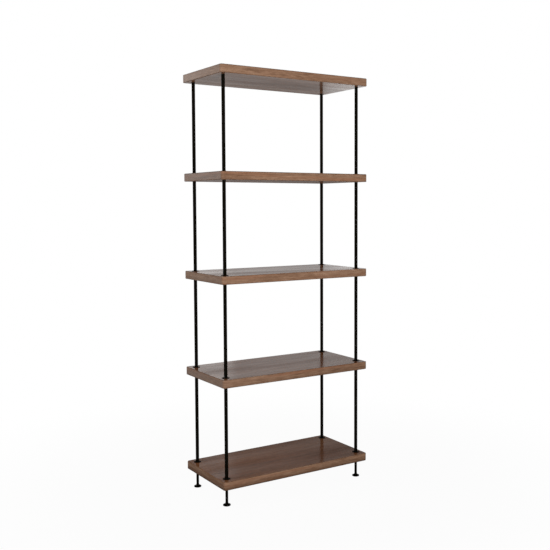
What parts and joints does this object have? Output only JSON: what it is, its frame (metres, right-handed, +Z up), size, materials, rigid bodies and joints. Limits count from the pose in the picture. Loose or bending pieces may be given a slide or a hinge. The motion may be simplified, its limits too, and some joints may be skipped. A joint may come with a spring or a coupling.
{
  "type": "display shelf",
  "caption": "Open display shelf: rounded walnut boards on slim round black steel uprights with thin round flanges, standing on screw-adjustable flared feet.",
  "frame": {"origin": "middle of the footprint, on the floor under the feet", "axes": "+Z up, +X along the width to the right seen from the front, front towards -Y"},
  "size_m": [0.5968, 0.2922, 1.4732],
  "materials": {
    "walnut": "satin lacquered walnut veneer",
    "black_powder_coat": "satin black powder coat",
    "zinc_plate": "zinc plated",
    "rubber": "matt black rubber"
  },
  "bodies": {
    "frame": {"board_bottom": "walnut", "board_lower": "walnut", "board_middle": "walnut", "board_upper": "walnut", "board_top": "walnut", "upright_1_front_left": "black_powder_coat", "flange_1_front_left": "black_powder_coat", "upright_1_front_right": "black_powder_coat", "flange_1_front_right": "black_powder_coat", "upright_1_back_left": "black_powder_coat", "flange_1_back_left": "black_powder_coat", "upright_1_back_right": "black_powder_coat", "flange_1_back_right": "black_powder_coat", "upright_2_front_left": "black_powder_coat", "flange_2_front_left": "black_powder_coat", "upright_2_front_right": "black_powder_coat", "flange_2_front_right": "black_powder_coat", "upright_2_back_left": "black_powder_coat", "flange_2_back_left": "black_powder_coat", "upright_2_back_right": "black_powder_coat", "flange_2_back_right": "black_powder_coat", "upright_3_front_left": "black_powder_coat", "flange_3_front_left": "black_powder_coat", "upright_3_front_right": "black_powder_coat", "flange_3_front_right": "black_powder_coat", "upright_3_back_left": "black_powder_coat", "flange_3_back_left": "black_powder_coat", "upright_3_back_right": "black_powder_coat", "flange_3_back_right": "black_powder_coat", "upright_4_front_left": "black_powder_coat", "flange_4_front_left": "black_powder_coat", "upright_4_front_right": "black_powder_coat", "flange_4_front_right": "black_powder_coat", "upright_4_back_left": "black_powder_coat", "flange_4_back_left": "black_powder_coat", "upright_4_back_right": "black_powder_coat", "flange_4_back_right": "black_powder_coat", "top_insert_front_left": "zinc_plate", "foot_socket_front_left": "black_powder_coat", "top_insert_front_right": "zinc_plate", "foot_socket_front_right": "black_powder_coat", "top_insert_back_left": "zinc_plate", "foot_socket_back_left": "black_powder_coat", "top_insert_back_right": "zinc_plate", "foot_socket_back_right": "black_powder_coat"},
    "foot_front_left": {"foot_base_front_left": "black_powder_coat", "foot_pad_front_left": "rubber"},
    "stem_front_left": {"foot_stem_front_left": "black_powder_coat"},
    "foot_front_right": {"foot_base_front_right": "black_powder_coat", "foot_pad_front_right": "rubber"},
    "stem_front_right": {"foot_stem_front_right": "black_powder_coat"},
    "foot_back_left": {"foot_base_back_left": "black_powder_coat", "foot_pad_back_left": "rubber"},
    "stem_back_left": {"foot_stem_back_left": "black_powder_coat"},
    "foot_back_right": {"foot_base_back_right": "black_powder_coat", "foot_pad_back_right": "rubber"},
    "stem_back_right": {"foot_stem_back_right": "black_powder_coat"}
  },
  "joints": [
    {"name": "foot_travel_front_left", "type": "slide", "parent": "frame", "child": "foot_front_left", "axis": [0, 0, -1], "range_m": [0, 0.01]},
    {"name": "foot_screw_front_left", "type": "hinge", "parent": "foot_front_left", "child": "stem_front_left", "pos_m": [-0.27245, -0.11205, 0], "axis": [0, 0, -1], "range_deg": [0, 2890]},
    {"name": "foot_travel_front_right", "type": "slide", "parent": "frame", "child": "foot_front_right", "axis": [0, 0, -1], "range_m": [0, 0.01]},
    {"name": "foot_screw_front_right", "type": "hinge", "parent": "foot_front_right", "child": "stem_front_right", "pos_m": [0.27245, -0.11205, 0], "axis": [0, 0, -1], "range_deg": [0, 2890]},
    {"name": "foot_travel_back_left", "type": "slide", "parent": "frame", "child": "foot_back_left", "axis": [0, 0, -1], "range_m": [0, 0.01]},
    {"name": "foot_screw_back_left", "type": "hinge", "parent": "foot_back_left", "child": "stem_back_left", "pos_m": [-0.27245, 0.11205, 0], "axis": [0, 0, -1], "range_deg": [0, 2890]},
    {"name": "foot_travel_back_right", "type": "slide", "parent": "frame", "child": "foot_back_right", "axis": [0, 0, -1], "range_m": [0, 0.01]},
    {"name": "foot_screw_back_right", "type": "hinge", "parent": "foot_back_right", "child": "stem_back_right", "pos_m": [0.27245, 0.11205, 0], "axis": [0, 0, -1], "range_deg": [0, 2890]}
  ],
  "couplings": [
    {"joint": "foot_screw_front_left", "follows": "foot_travel_front_left", "rad_per_m": 5026.5},
    {"joint": "foot_screw_front_right", "follows": "foot_travel_front_right", "rad_per_m": 5026.5},
    {"joint": "foot_screw_back_left", "follows": "foot_travel_back_left", "rad_per_m": 5026.5},
    {"joint": "foot_screw_back_right", "follows": "foot_travel_back_right", "rad_per_m": 5026.5}
  ]
}
